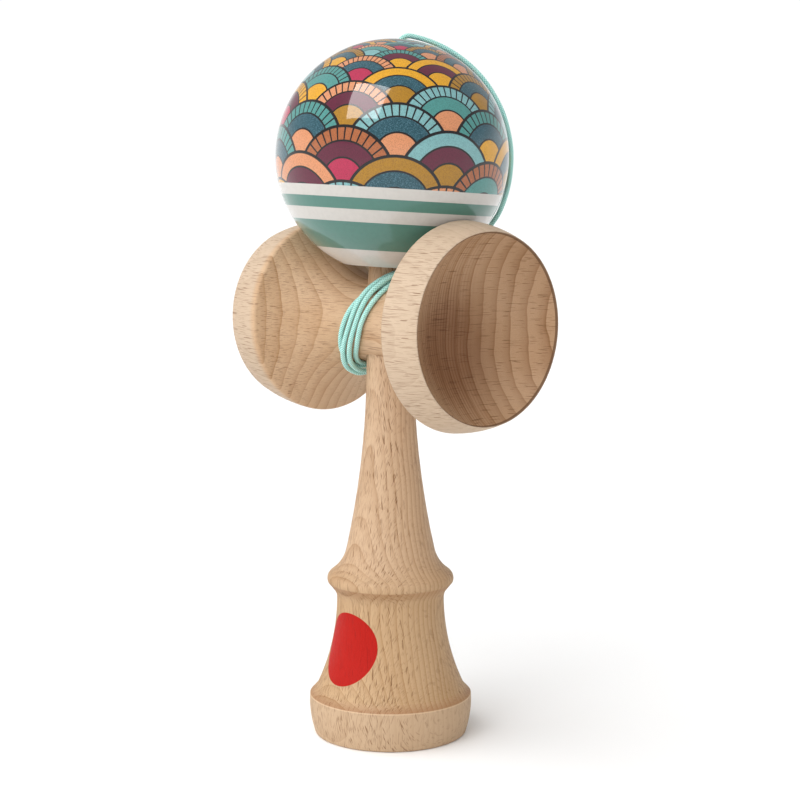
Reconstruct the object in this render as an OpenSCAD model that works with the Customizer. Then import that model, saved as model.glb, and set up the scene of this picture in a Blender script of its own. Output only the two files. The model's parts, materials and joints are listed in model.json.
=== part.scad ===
// Kendama: a turned wooden handle with a spike, a cross piece with two cups wedged on it, and a
// lacquered ball on a braided string that is wound round the waist of the cross piece.
// The foot stands on z = 0, the handle runs up z, and the larger side cup faces +x.

/* [Handle] */
// Diameter of the flat foot, before its edge is rounded
foot_d = 40.6; // [38:0.2:43]
// Rounding of the foot's lower edge
foot_round = 0.9; // [0.4:0.1:1.5]
// Diameter of the base ring at its widest line
ring_d = 43; // [41:0.2:46]
// Height of the base ring's widest line
ring_z = 8.6; // [6:0.2:9.4]
// Height of the base ring's upper edge
ring_edge = 10.45; // [9.6:0.05:11.5]
// Height of the crease between the base ring and the flared body
ring_h = 12.4; // [11.6:0.05:14]
// Diameter of the flared body in that crease
flare_d = 39.2; // [37:0.2:41]
// Diameter of the body at the cove under the collar
cove_d = 28.3; // [25:0.1:30]
// Height of the cove
cove_z = 36.6; // [35:0.1:38]
// Diameter of the raised collar
collar_d = 33.4; // [32:0.1:36]
// Rounding of the collar's edge
collar_round = 2.3; // [1.8:0.1:3]
// Height of the middle of the collar's edge
collar_z = 41.45; // [40.5:0.05:43]
// Distance from there down to the collar's lower edge
collar_edge = 0.8; // [0.4:0.05:1.2]
// Height of the slope under the collar's lower edge
collar_under = 2.95; // [2.2:0.05:3.4]
// Rounding of the crease below that slope
cove_round = 1.3; // [0.8:0.1:1.8]
// Radius of the hollow between the collar and the neck
collar_over = 9.85; // [7:0.05:12]
// Diameter of the neck under the cross piece
neck_d = 12.4; // [11.6:0.1:13.4]
// Radius of the neck's long hollow side
neck_sweep = 229; // [200:1:280]
// Diameter of the handle where it leaves the cross piece at the top
seat_top_d = 11.5; // [10.8:0.1:12]
// Diameter of the spike below its rounded tip
tip_d = 7.4; // [6:0.1:9]
// Height of the spike's rounded tip
tip_dome = 2.6; // [1.5:0.1:3.6]
// Diameter of the cup in the foot
base_cup_d = 35.6; // [33:0.2:37]
// Depth of the cup in the foot
base_cup_depth = 9; // [6:0.2:11]

/* [Cross piece] */
// Height of the cross piece's axis
cross_z = 109.5; // [105:0.5:115]
// Length over both rims
cross_l = 74.2; // [70:0.2:80]
// Diameter of the waist
waist_d = 20.8; // [19.6:0.1:22.4]
// Length of the straight middle of the waist
waist_l = 6; // [3:0.2:8]
// Diameter of the big cup's shoulder, its widest line
big_shoulder_d = 53.48; // [51:0.02:55]
// Distance from the big cup's shoulder to its rim
big_band = 10.15; // [8:0.05:12]
// Diameter of the big cup's rim
big_rim_d = 48.4; // [47.6:0.1:49.4]
// Diameter of the big cup's hollow
big_cup_d = 47.6; // [45:0.1:47.8]
// Depth of the big cup's hollow
big_cup_depth = 14; // [10:0.2:16]
// Diameter of the small cup's shoulder, its widest line
small_shoulder_d = 51.5; // [49:0.1:53]
// Distance from the small cup's shoulder to its rim
small_band = 12.45; // [10:0.05:14]
// Diameter of the small cup's rim
small_rim_d = 47; // [46.2:0.1:48.4]
// Diameter of the small cup's hollow
small_cup_d = 46.2; // [43:0.1:46.4]
// Depth of the small cup's hollow
small_cup_depth = 13; // [9:0.2:15]
// Swell of the bands between shoulder and rim
band_swell = 0.35; // [0.1:0.05:0.8]
// Rounding of the shoulders
shoulder_round = 0.9; // [0.4:0.1:1.5]
// Chamfer inside the rims
rim_chamfer = 0.3; // [0.2:0.05:0.5]

/* [Ball] */
// Diameter of the ball
ball_d = 60; // [58:0.5:63]
// Diameter of the spike hole's mouth on the ball's surface
mouth_d = 22.2; // [21:0.2:25]
// Diameter of the spike hole
bore_d = 20.2; // [18:0.2:20.6]
// Height of the bevel in the mouth
bevel_h = 1.5; // [0.8:0.1:2.5]
// Thickness of the wood between the spike hole and the top of the ball
crown = 11.9; // [10:0.1:16]
// Lean of the ball as it rests on the cups
ball_lean = 3.4; // [0:0.2:5]
// Compass direction of that lean, from the big cup towards the far side
lean_towards = 64; // [0:1:90]
// Diameter of the stopper bead
bead_d = 7.5; // [6.5:0.1:8.5]
// Height of the stopper bead
bead_h = 5.5; // [4:0.1:7]
// Diameter of the bead's hole
bead_hole_d = 2.6; // [2.2:0.1:3]

/* [String] */
// Diameter of the braided string
string_d = 1.3; // [1:0.05:1.5]
// Diameter of the string holes in the ball and in the cross piece
string_hole_d = 3; // [2.6:0.1:3.4]
// Rounding of the mouths of those holes
mouth_round = 1.8; // [1.4:0.1:2.2]
// Diameter of the hole across the handle
ken_hole_d = 2.6; // [2.2:0.1:3]
// Diameter of the pocket for the knot in the handle
pocket_d = 5; // [4.8:0.1:5.4]
// Depth of that pocket's floor behind the handle's axis
pocket_floor = 1.5; // [1:0.1:2]
// Diameter of the knots
knot_d = 4.3; // [3.6:0.1:4.5]
// Length of the knots
knot_l = 3.5; // [2.6:0.1:4]
// Place of the winding along the cross piece on the near side of the waist
wind_near = -1.8; // [-3:0.1:0]
// Place of the winding along the cross piece on the far side of the waist
wind_far = 3.8; // [3.4:0.1:4.4]
// Distance of the winding's middle from the neck over the top of the waist
wind_over = 2.4; // [2.3:0.1:2.6]
// Distance of the winding's middle from the neck under the waist
wind_under = 3; // [2.8:0.1:3.4]
// Slant of the winding on the near side, along the cross piece for each radian of turn
wind_slant = 5.6; // [5:0.1:6.2]
// How far the winding draws in behind the spike, clear of the ball
wind_tuck = 1.5; // [1.3:0.1:1.7]

/* [Hidden] */
$fn = 96;

wood = [0.86, 0.72, 0.55];
lacquer = [0.20, 0.42, 0.47];
braid = [0.55, 0.82, 0.74];
boxwood = [0.80, 0.66, 0.45];

// Cuts run this far past the faces that they open.
overrun = 1;
// Play of the taper between the handle and the cross piece
fit_gap = 0.05;
// Play between the resting ball and the shoulders of the cups
seat_gap = 0.3;
// Play between the bead and the end of the spike hole
stop_gap = 0.1;
// Play between the spike's tip and the knot in the ball
tip_gap = 1;
// Play between the string and the wood that it is wound on
string_gap = 0.15;
// Extra height of the string where it comes out of the cross piece
lead_lift = 0.2;
// Play between the string and the ball
run_gap = 0.5;
// Play between strands of the winding
strand_gap = 0.62;

// Segments in each arc of a turned profile
arc_steps = 14;
foot_r = foot_d / 2;
ring_r = ring_d / 2;
waist_r = waist_d / 2;
ball_r = ball_d / 2;

function unit(v) = v / norm(v);
function smooth(u) = u * u * (3 - 2 * u);

// Where two circles meet; side picks the crossing left (1) or right (-1) of the way from a to b.
function meet(a, ra, b, rb, side) =
    let (way = b - a, apart = norm(way), e = way / apart,
         along = (apart * apart + ra * ra - rb * rb) / (2 * apart),
         across = sqrt(max(ra * ra - along * along, 0)))
    a + along * e + side * across * [-e.y, e.x];

// The shorter arc about c from the direction of p to the direction of q.
function arc(c, r, p, q) =
    let (from = atan2(p.y - c.y, p.x - c.x), to = atan2(q.y - c.y, q.x - c.x),
         sweep = (to - from + 540) % 360 - 180)
    [for (i = [0:arc_steps]) let (a = from + sweep * i / arc_steps) c + r * [cos(a), sin(a)]];

// A straight stretch from a to b that swells by s to the right of its way.
function swell(a, b, s) =
    let (way = unit(b - a))
    [for (i = [0:arc_steps]) let (u = i / arc_steps)
        a + (b - a) * u + 4 * s * u * (1 - u) * [way.y, -way.x]];

// The corner c between a and b, rounded off.
function round_off(a, c, b) =
    [for (i = [0:arc_steps]) let (u = i / arc_steps)
        (1 - u) * (1 - u) * a + 2 * u * (1 - u) * c + u * u * b];

// Radius of the sphere that makes a cup of this diameter and depth.
function cup_radius(d, depth) = (d * d / 4 + depth * depth) / (2 * depth);

// The handle's outline: the flared body runs up to the slope under the collar, tangent arcs lead from
// the collar's lower edge to the neck, and two straight tapers follow.
flare_rise = cove_z - ring_h;
flare_in = (flare_d - cove_d) / 2;
flare_R = (flare_rise * flare_rise + flare_in * flare_in) / (2 * flare_in);
flare_c = [cove_d / 2 + flare_R, cove_z];
collar_c = [collar_d / 2 - collar_round, collar_z];
neck_z = cross_z - waist_r;
neck_c = [neck_d / 2 + neck_sweep, neck_z];
over_c = meet(neck_c, neck_sweep - collar_over, collar_c, collar_over + collar_round, -1);
neck_end = neck_c + neck_sweep * unit(over_c - neck_c);
under_edge = collar_c + [sqrt(collar_round * collar_round - collar_edge * collar_edge), -collar_edge];

// Point of the flared body's side at a height, and the rounded crease between it and the slope.
function flare_at(z) = [flare_c.x - sqrt(flare_R * flare_R - pow(z - cove_z, 2)), z];
crease = flare_at(under_edge.y - collar_under);
cove_end = flare_at(crease.y - cove_round);
under_end = crease + cove_round * unit(under_edge - crease);

// Radius of the base ring at a height, from the foot's rounding to the ring's upper edge.
function ring_side(z) = ring_r - (ring_r - foot_r) * pow((ring_z - z) / (ring_z - foot_round), 2);

// The cross piece's flares leave the waist as arcs and end at the shoulders.
big_shoulder = [cross_l / 2 - big_band, big_shoulder_d / 2];
small_shoulder = [cross_l / 2 - small_band, small_shoulder_d / 2];
function flare_radius(shoulder) =
    let (run = shoulder.x - waist_l / 2, rise = shoulder.y - waist_r)
    (run * run + rise * rise) / (2 * rise);
big_flare = flare_radius(big_shoulder);
small_flare = flare_radius(small_shoulder);

// Radius of the cross piece at a place along it, from the waist to a shoulder.
function waist_at(along) =
    let (run = max(abs(along) - waist_l / 2, 0), r = along > 0 ? big_flare : small_flare)
    waist_r + r - sqrt(r * r - run * run);

// The ball comes down between the shoulders until it meets them, or a flare or the waist before them.
seat_r = ball_r + seat_gap;
seat_x = meet([big_shoulder.x, big_shoulder.y], seat_r, [-small_shoulder.x, small_shoulder.y], seat_r, -1).x;
seat_steps = 60;
seat_places = [for (i = [0:seat_steps])
    -small_shoulder.x + (small_shoulder.x + big_shoulder.x) * i / seat_steps];
seat_rise = max([for (along = seat_places) if (abs(along - seat_x) < seat_r)
    waist_at(along) + sqrt(seat_r * seat_r - pow(along - seat_x, 2))]);
ball_c = [seat_x, 0, cross_z + seat_rise];
mouth_z = -sqrt(ball_r * ball_r - mouth_d * mouth_d / 4);
bore_end = ball_r - crown;
bead_z = bore_end - stop_gap - bead_h;
tip_z = ball_c.z + (bead_z - knot_l) * cos(ball_lean) - knot_d / 2 * sin(ball_lean) - tip_gap;

ken_profile = concat(
    [[0, 0], [foot_r - foot_round, 0]],
    arc([foot_r - foot_round, foot_round], foot_round, [foot_r - foot_round, 0], [foot_r, foot_round]),
    [for (i = [0:arc_steps]) let (z = foot_round + (ring_edge - foot_round) * i / arc_steps)
        [ring_side(z), z]],
    arc(flare_c, flare_R, [flare_d / 2, ring_h], cove_end),
    round_off(cove_end, crease, under_end),
    arc(collar_c, collar_round, under_edge, over_c),
    arc(over_c, collar_over, collar_c, neck_end),
    arc(neck_c, neck_sweep, neck_end, [neck_d / 2, neck_z]),
    [[seat_top_d / 2, cross_z + waist_r]],
    [for (a = [0:90 / arc_steps:90]) [tip_d / 2 * cos(a), tip_z - tip_dome + tip_dome * sin(a)]]);

// One end of the cross piece's outline, from the waist to the rim, as [radius, distance].
function cup_outline(shoulder, flare, rim_d) =
    let (corner = [shoulder.y, shoulder.x], rim = [rim_d / 2, cross_l / 2],
         start = [waist_r, waist_l / 2], c = start + [flare, 0],
         turn = atan2(corner.y - c.y, corner.x - c.x) + shoulder_round / flare * 180 / PI,
         before = c + flare * [cos(turn), sin(turn)],
         band = swell(corner + shoulder_round * unit(rim - corner), rim, band_swell))
    concat(arc(c, flare, start, before), round_off(before, corner, band[0]), band);

// Strands of the winding lie two by two, a layer apart and a little wider sideways.
layer = string_d + strand_gap;
pitch_share = 1.17;
spread_share = 0.3;
pitch = layer * pitch_share;

// Course of the winding's middle along the cross piece, by the angle about it:
// 0 is the near side, 90 the top, 180 the far side. It draws in about tuck_turn.
wind_top = neck_d / 2 + wind_over;
wind_bottom = neck_d / 2 + wind_under;
wind_rise = (wind_top + wind_bottom) / 2;
wind_third = (wind_slant - wind_rise) / 4;
tuck_turn = 112;
tuck_half = 45;
function tuck(turn) =
    let (away = turn - tuck_turn - 360 * round((turn - tuck_turn) / 360))
    abs(away) < tuck_half ? wind_tuck * pow(cos(90 * away / tuck_half), 2) : 0;
function course(turn) =
    (wind_near + wind_far) / 4 * (1 + cos(2 * turn)) + (wind_near - wind_far) / 2 * cos(turn)
    + (wind_top - wind_bottom) / 4 * (1 - cos(2 * turn))
    + (wind_rise + wind_third) * sin(turn) + wind_third * sin(3 * turn) - tuck(turn);

// Point at a place along the cross piece, an angle about it and a height off its surface.
function on_waist(along, turn, lift) =
    let (out = waist_at(along) + lift)
    [along, -out * cos(turn), cross_z + out * sin(turn)];

// The string comes out on the far side and bends to lie on the waist.
bend_r = 2.15 * string_d;
lead_slant = 21;
lead_out = waist_r + string_gap + lead_lift + string_d / 2;
lead_angle = asin(cos(lead_slant) * bend_r / (lead_out - cos(lead_slant) * bend_r));
lead_turn = 180 - lead_angle;
lead_y = (lead_out - bend_r) * cos(lead_angle);
lead_along = sin(lead_slant) * bend_r * (1 + sin(lead_angle));
lead_shift = course(lead_turn) - pitch / 2 - lead_along;

// Places in the bundle as [along, out]: on the way from the hole, over the near side of the waist,
// where the strands lie in a row, and over its far side, where each moves on by one corner.
function lead_place(share) = [-pitch / 2 - lead_shift * smooth(share), lead_lift * smooth(share)];
function near_place(slot, turn) =
    let (fold = 90 * (1 - pow(abs(cos(turn)), 3)), side = slot == 0 || slot == 3 ? -1 : 1)
    slot < 2 ? [side * pitch * (1 / 2 + cos(fold)), 0] : [side * pitch / 2, layer * sin(fold)];
function far_place(slot, share) =
    let (corner = 225 + 90 * (slot + share), bow = sin(180 * share))
    [pitch * cos(corner) / sqrt(2) * (1 + spread_share * bow),
     layer * (1 / 2 + sin(corner) / sqrt(2) + (1 / sqrt(2) - 1 / 2) * bow)];

// Point of the winding's middle line after this many degrees from the top of the waist.
wind_end = 1260;
function strand(done) =
    let (turn = 90 - done, slot = max(floor(done / 360), 0), part = done - 360 * slot,
         place = done < 0 ? lead_place((turn - 90) / (lead_turn - 90))
               : part <= 180 ? near_place(slot, turn) : far_place(slot, smooth((part - 180) / 180)))
    on_waist(course(turn) + place.x, turn, string_gap + string_d / 2 + place.y);

wind_start = 90 - lead_turn;
wind_step = 15;
lead_way = [sin(lead_slant) * cos(lead_angle), -sin(lead_angle), cos(lead_slant) * cos(lead_angle)];
end_way = unit(strand(wind_end) - strand(wind_end - 1));
winding_route = concat(
    [strand(wind_start), strand(wind_start) + string_d * lead_way],
    [for (done = [wind_start + wind_step:wind_step:wind_end - wind_step / 2]) strand(done)],
    [strand(wind_end) - string_d * end_way, strand(wind_end)]);

// Least gap of the winding to itself, away from the neighbouring stretch of the same turn.
gap_step = 5;
near_turn = 60;
gap_points = [for (done = [wind_start:gap_step:wind_end]) strand(done)];
least_gap = min([for (i = [0:len(gap_points) - 1], k = [i + near_turn / gap_step:1:len(gap_points) - 1])
    norm(gap_points[i] - gap_points[k])]) - string_d;
echo(least_gap_in_winding = least_gap);

// The ball's own directions, and a point given in them.
ball_x = [cos(ball_lean) * cos(lean_towards), cos(ball_lean) * sin(lean_towards), -sin(ball_lean)];
ball_y = [-sin(lean_towards), cos(lean_towards), 0];
ball_z = [sin(ball_lean) * cos(lean_towards), sin(ball_lean) * sin(lean_towards), cos(ball_lean)];
function on_ball(p) = ball_c + p.x * ball_x + p.y * ball_y + p.z * ball_z;

// The run leaves the ball's top hole in a bend, follows the ball and then hangs to the winding.
run_out = ball_r + run_gap + string_d / 2;
run_rise = asin(bend_r / (run_out - bend_r));
run_z = (run_out - bend_r) * cos(run_rise);
// Way down the ball as [angle from its top, angle aside].
ball_route = [[9, 0], [14, -1], [21, -2], [29, -3], [38, -4], [47, -5], [56, -5], [65, -6], [74, -6],
              [83, -7], [92, -7], [100, -8], [108, -9], [115, -10]];
// Way to the winding as [along the cross piece, angle about it, height off the waist's radius].
free_route = [[14.6, 132, 21.2], [13.9, 137, 17.3], [13.1, 143.5, 14.1], [12, 152.5, 11.4],
              [10.4, 164, 9.6], [8.2, 176.5, 8.4], [5.3, 190, 7.8], [2, 203, 7.3], [-1.4, 215.5, 6.7],
              [-4.6, 227.5, 6.2], [-7.3, 240, 5.3], [-9.3, 254, 4.4]];
run_keys = concat(
    [on_ball([0, 0, run_z - string_d])],
    [for (a = [0:(90 + run_rise) / 4:90 + run_rise + 1])
        on_ball([bend_r * (1 - cos(a)), 0, run_z + bend_r * sin(a)])],
    [for (p = ball_route)
        on_ball(run_out * [sin(p.x) * cos(p.y), sin(p.x) * sin(p.y), cos(p.x)])],
    [for (p = free_route) [p.x, -(waist_r + p.z) * cos(p.y), cross_z + (waist_r + p.z) * sin(p.y)]],
    [strand(wind_end) + string_d * end_way, strand(wind_end)]);

// A smooth line through every key point, with one more point between each two.
function through(p) =
    let (last = len(p) - 1)
    concat([for (i = [0:last - 1])
        each [p[i], (9 * (p[i] + p[i + 1]) - p[max(i - 1, 0)] - p[min(i + 2, last)]) / 16]], [p[last]]);

// Directions along a route, and a side direction carried along it without twist.
function ways(p) = let (last = len(p) - 1) [for (i = [0:last]) unit(p[min(i + 1, last)] - p[max(i - 1, 0)])];
function carried(way, side, i = 0) =
    i == len(way) ? [] :
    let (now = unit(side - (side * way[i]) * way[i]))
    concat([now], carried(way, now, i + 1));

// A string of straight-sided rings along a route.
module tube(route, sides) {
    way = ways(route);
    first_side = abs(way[0].z) < 0.9 ? cross(way[0], [0, 0, 1]) : cross(way[0], [1, 0, 0]);
    side = carried(way, unit(first_side));
    last = len(route) - 1;
    rings = [for (i = [0:last], k = [0:sides - 1]) let (a = 360 * k / sides)
        route[i] + string_d / 2 * (cos(a) * side[i] + sin(a) * cross(way[i], side[i]))];
    walls = [for (i = [0:last - 1], k = [0:sides - 1])
        let (a = i * sides + k, b = i * sides + (k + 1) % sides)
        each [[a, a + sides, b], [b, a + sides, b + sides]]];
    ends = [[for (k = [0:sides - 1]) k], [for (k = [sides - 1:-1:0]) last * sides + k]];
    polyhedron(rings, concat(walls, ends), convexity = 10);
}

// A round body with swollen sides and flat ends.
module barrel(d, h) {
    rotate_extrude()
        intersection() {
            square([d / 2, h]);
            translate([d / 2 - h, h / 2]) circle(h);
        }
}

// Cutter for a string hole down from z = 0, with a rounded mouth.
module string_hole(depth) {
    hole_r = string_hole_d / 2;
    rotate_extrude() {
        translate([0, -depth]) square([hole_r, depth + overrun]);
        difference() {
            translate([0, -mouth_round]) square([hole_r + mouth_round, mouth_round + overrun]);
            translate([hole_r + mouth_round, -mouth_round]) circle(mouth_round);
        }
    }
}

module in_ball() {
    translate(ball_c) rotate([0, 0, lean_towards]) rotate([0, ball_lean, 0]) children();
}

module ken() {
    cup_R = cup_radius(base_cup_d, base_cup_depth);
    color(wood)
        difference() {
            rotate_extrude() polygon(ken_profile);
            translate([0, 0, base_cup_depth - cup_R]) sphere(cup_R);
            translate([0, -pocket_floor - overrun, cross_z])
                rotate([-90, 0, 0]) cylinder(d = ken_hole_d, h = neck_d + overrun);
            translate([0, -pocket_floor, cross_z])
                rotate([90, 0, 0]) cylinder(d = pocket_d, h = neck_d);
        }
}

module cup_hollow(d, depth) {
    r = cup_radius(d, depth);
    translate([0, 0, cross_l / 2 - depth + r]) sphere(r);
    translate([0, 0, cross_l / 2 - rim_chamfer])
        cylinder(d1 = d - rim_chamfer, d2 = d + rim_chamfer, h = rim_chamfer);
    translate([0, 0, cross_l / 2]) cylinder(d = d + rim_chamfer, h = overrun);
}

module sarado() {
    big = cup_outline(big_shoulder, big_flare, big_rim_d);
    small = cup_outline(small_shoulder, small_flare, small_rim_d);
    taper = (neck_d - seat_top_d) / waist_d;
    color(wood)
        difference() {
            translate([0, 0, cross_z])
                rotate([0, 90, 0])
                    difference() {
                        rotate_extrude()
                            polygon(concat(
                                [[0, cross_l / 2], [0, -cross_l / 2]],
                                [for (i = [len(small) - 1:-1:0]) [small[i].x, -small[i].y]],
                                big));
                        cup_hollow(big_cup_d, big_cup_depth);
                        mirror([0, 0, 1]) cup_hollow(small_cup_d, small_cup_depth);
                    }
            translate([0, 0, neck_z - overrun])
                cylinder(d1 = neck_d + 2 * fit_gap + taper * overrun,
                         d2 = seat_top_d + 2 * fit_gap - taper * overrun, h = waist_d + 2 * overrun);
            translate([0, waist_r, cross_z]) rotate([-90, 0, 0]) string_hole(waist_r);
        }
}

module tama() {
    color(lacquer)
        in_ball()
            difference() {
                sphere(ball_r);
                translate([0, 0, mouth_z]) cylinder(d = bore_d, h = bore_end - mouth_z);
                translate([0, 0, mouth_z]) cylinder(d1 = mouth_d, d2 = bore_d, h = bevel_h);
                translate([0, 0, -ball_d]) cylinder(d = mouth_d, h = ball_d + mouth_z);
                translate([0, 0, ball_r]) string_hole(ball_r - bore_end + overrun);
            }
}

module tama_bead() {
    color(boxwood)
        in_ball()
            translate([0, 0, bead_z])
                difference() {
                    barrel(bead_d, bead_h);
                    translate([0, 0, -overrun]) cylinder(d = bead_hole_d, h = bead_h + 2 * overrun);
                }
}

module tama_knot() {
    color(braid) in_ball() translate([0, 0, bead_z - knot_l]) barrel(knot_d, knot_l);
}

module ken_knot() {
    color(braid) translate([0, -pocket_floor, cross_z]) rotate([90, 0, 0]) barrel(knot_d, knot_l);
}

module string_inner() {
    color(braid) in_ball() translate([0, 0, bead_z]) cylinder(d = string_d, h = run_z - string_d - bead_z);
}

module string_run() {
    color(braid) tube(through(run_keys), 8);
}

module string_winding() {
    color(braid) tube(winding_route, 6);
}

module string_tail() {
    color(braid)
        translate([0, 0, cross_z])
            rotate([0, lead_slant, 0]) {
                translate([0, -pocket_floor, 0])
                    rotate([-90, 0, 0]) cylinder(d = string_d, h = pocket_floor + lead_y);
                translate([0, lead_y, bend_r])
                    rotate([0, 90, 0])
                        rotate_extrude(angle = 90 + lead_angle) translate([bend_r, 0]) circle(d = string_d);
            }
}

ken();
sarado();
tama();
tama_bead();
tama_knot();
ken_knot();
string_inner();
string_run();
string_winding();
string_tail();
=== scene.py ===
"""A kendama on a pale floor: beech handle and cross piece, braided string and a lacquered ball.

The parts sit in metres in the frame of the solids: the foot stands on z = 0 and the handle runs up z.
The larger side cup faces +x, and the near side of the toy is -y.
"""
import json
import math

import bpy
import numpy as np
from mathutils import Matrix, Vector


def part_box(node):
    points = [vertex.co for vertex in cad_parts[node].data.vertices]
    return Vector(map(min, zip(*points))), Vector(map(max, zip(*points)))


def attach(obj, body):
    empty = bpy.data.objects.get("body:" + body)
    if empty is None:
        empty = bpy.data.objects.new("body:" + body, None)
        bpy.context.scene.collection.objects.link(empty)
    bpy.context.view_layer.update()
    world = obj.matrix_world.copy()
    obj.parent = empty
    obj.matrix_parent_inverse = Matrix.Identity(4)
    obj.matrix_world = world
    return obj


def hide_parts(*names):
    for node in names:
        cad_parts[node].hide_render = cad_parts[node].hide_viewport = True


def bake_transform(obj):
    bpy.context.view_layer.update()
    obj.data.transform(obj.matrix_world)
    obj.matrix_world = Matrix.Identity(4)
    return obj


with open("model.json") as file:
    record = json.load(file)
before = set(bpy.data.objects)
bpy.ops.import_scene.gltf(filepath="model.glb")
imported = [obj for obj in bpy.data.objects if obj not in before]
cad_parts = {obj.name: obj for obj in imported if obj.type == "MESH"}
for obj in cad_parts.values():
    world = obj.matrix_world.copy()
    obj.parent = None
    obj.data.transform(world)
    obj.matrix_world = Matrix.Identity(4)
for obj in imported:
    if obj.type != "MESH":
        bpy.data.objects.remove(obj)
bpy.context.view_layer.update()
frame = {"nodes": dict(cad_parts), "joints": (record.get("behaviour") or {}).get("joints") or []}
nodes = frame["nodes"]
joints = {joint["name"]: joint for joint in frame["joints"]}


# Camera: a short telephoto at about the height of the ball, half a metre from the handle,
# which looks seven degrees down on the near side of the big cup. The image is square.
camera_place = Vector((0.35306, -0.30772, 0.14731))
camera_way = Vector((-0.7446, 0.6561, -0.1241))
camera_lens = 81.2
camera_sensor = 36.0

camera_data = bpy.data.cameras.new("camera")
camera_data.lens = camera_lens
camera_data.sensor_width = camera_sensor
camera = bpy.data.objects.new("camera", camera_data)
camera.location = camera_place
camera.rotation_euler = camera_way.to_track_quat("-Z", "Y").to_euler()
bpy.context.scene.collection.objects.link(camera)
bpy.context.scene.camera = camera


# Handle: one piece of beech, turned on a lathe and sanded, with a spike above and a cup in its foot.
# The grain runs up it, the growth rings lie across y, and a plain red disc is printed on its near side.
# The creases over the base ring and under the collar are browner, and a pale line along the arris of the
# ring is a painted highlight.
ring_face_top = (0.0103, 0.0105)
ring_wood = (0.480, 0.345, 0.223, 1)
ring_plain_share = 0.65
# A pale line painted along the arris of the base ring is a painted highlight.
ring_arris = 0.01040
arris_half = (0.00008, 0.00022)
painted_arris_highlight = (0.640, 0.460, 0.300, 1)
arris_highlight_share = 0.55
# Heights where each crease, and the body's warmer tone, starts, is full, fades and ends.
ring_crease = (0.01046, 0.0106, 0.0107, 0.0126)
ring_crease_share = 0.55
collar_crease = (0.0376, 0.0402, 0.04056, 0.04066)
collar_crease_share = 0.34
crease_brown = (0.285, 0.128, 0.046, 1)
body_reach = (0.0106, 0.0126, 0.0360, 0.0500)
body_gold = (0.93, 0.90, 0.80, 1)
disc_height = 0.0247
disc_radius = 0.0097
disc_blur = 0.00006
disc_slope_share = 1.04
disc_red = (0.385, 0.0060, 0.0020, 1)
disc_dark = (0.250, 0.0030, 0.0010, 1)
disc_ray_share = 0.5


class Value:
    """A number over a surface: an output socket, with Python's operators as Math nodes."""

    def __init__(self, sheet, socket):
        self.sheet = sheet
        self.socket = socket

    def math(self, operation, *terms):
        return self.sheet.add("ShaderNodeMath", {"operation": operation}, dict(enumerate(terms)))

    def __add__(self, other):
        return self.math("ADD", self, other)

    def __sub__(self, other):
        return self.math("SUBTRACT", self, other)

    def __rsub__(self, other):
        return self.math("SUBTRACT", other, self)

    def __mul__(self, other):
        return self.math("MULTIPLY", self, other)

    def __truediv__(self, other):
        return self.math("DIVIDE", self, other)

    def __mod__(self, other):
        return self.math("FLOORED_MODULO", self, other)

    def __pow__(self, other):
        return self.math("POWER", self, other)

    def __lt__(self, other):
        return self.math("LESS_THAN", self, other)

    def __abs__(self):
        return self.math("ABSOLUTE", self)

    __radd__ = __add__
    __rmul__ = __mul__

    def floor(self):
        return self.math("FLOOR", self)

    def ceiling(self):
        return self.math("CEIL", self)

    def root(self):
        return self.math("SQRT", self)

    def log(self):
        return self.math("LOGARITHM", self, math.e)

    def cosine(self):
        return self.math("COSINE", self)

    def angle_over(self, base):
        return self.math("ARCTAN2", self, base)

    def at_most(self, limit):
        return self.math("MINIMUM", self, limit)

    def rise(self, low, high):
        """0 below low, 1 above high and smooth between them."""
        return self.sheet.add("ShaderNodeMapRange", {"interpolation_type": "SMOOTHSTEP"},
                              {"Value": self, "From Min": low, "From Max": high})

    def fall(self, low, high):
        """1 below low, 0 above high and smooth between them."""
        return self.rise(high, low)

    def within(self, start, full, fading, end):
        """0 outside start and end, 1 from full to fading and smooth between them."""
        return self.rise(start, full) * self.fall(fading, end)


class Sheet:
    """The nodes of one material or of the world, and the one way to add to them."""

    def __init__(self, tree):
        self.tree = tree

    def feed(self, socket, given):
        if isinstance(given, Value):
            self.tree.links.new(given.socket, socket)
        else:
            socket.default_value = given

    def add(self, kind, settings, sockets, output=0):
        node = self.tree.nodes.new(kind)
        for name, setting in settings.items():
            if name == "stops":
                self.set_stops(node.color_ramp, *setting)
            else:
                setattr(node, name, setting)
        for key, given in sockets.items():
            self.feed(node.inputs[key], given)
        return Value(self, node.outputs[output])

    def set_stops(self, ramp, interpolation, *stops):
        """Gives a colour ramp its stops, in place of the first and last that it comes with."""
        ramp.interpolation = interpolation
        for place, colour in stops:
            ramp.elements.new(place).color = colour
        ramp.elements.remove(ramp.elements[-1])
        ramp.elements.remove(ramp.elements[0])

    def split(self, vector):
        first = self.add("ShaderNodeSeparateXYZ", {}, {0: vector})
        return [Value(self, socket) for socket in first.socket.node.outputs]

    def point(self, x, y, z):
        return self.add("ShaderNodeCombineXYZ", {}, {0: x, 1: y, 2: z})

    def mix(self, share, a, b, blend="MIX"):
        settings = {"data_type": "RGBA", "blend_type": blend}
        return self.add("ShaderNodeMix", settings, {0: share, 6: a, 7: b}, output=2)

    def noise(self, place, scale, detail=0.0, rough=0.5):
        return self.add("ShaderNodeTexNoise", {},
                        {"Vector": place, "Scale": scale, "Detail": detail, "Roughness": rough})

    def ramp(self, value, interpolation, *stops):
        return self.add("ShaderNodeValToRGB", {"stops": (interpolation, *stops)}, {0: value})


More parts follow.
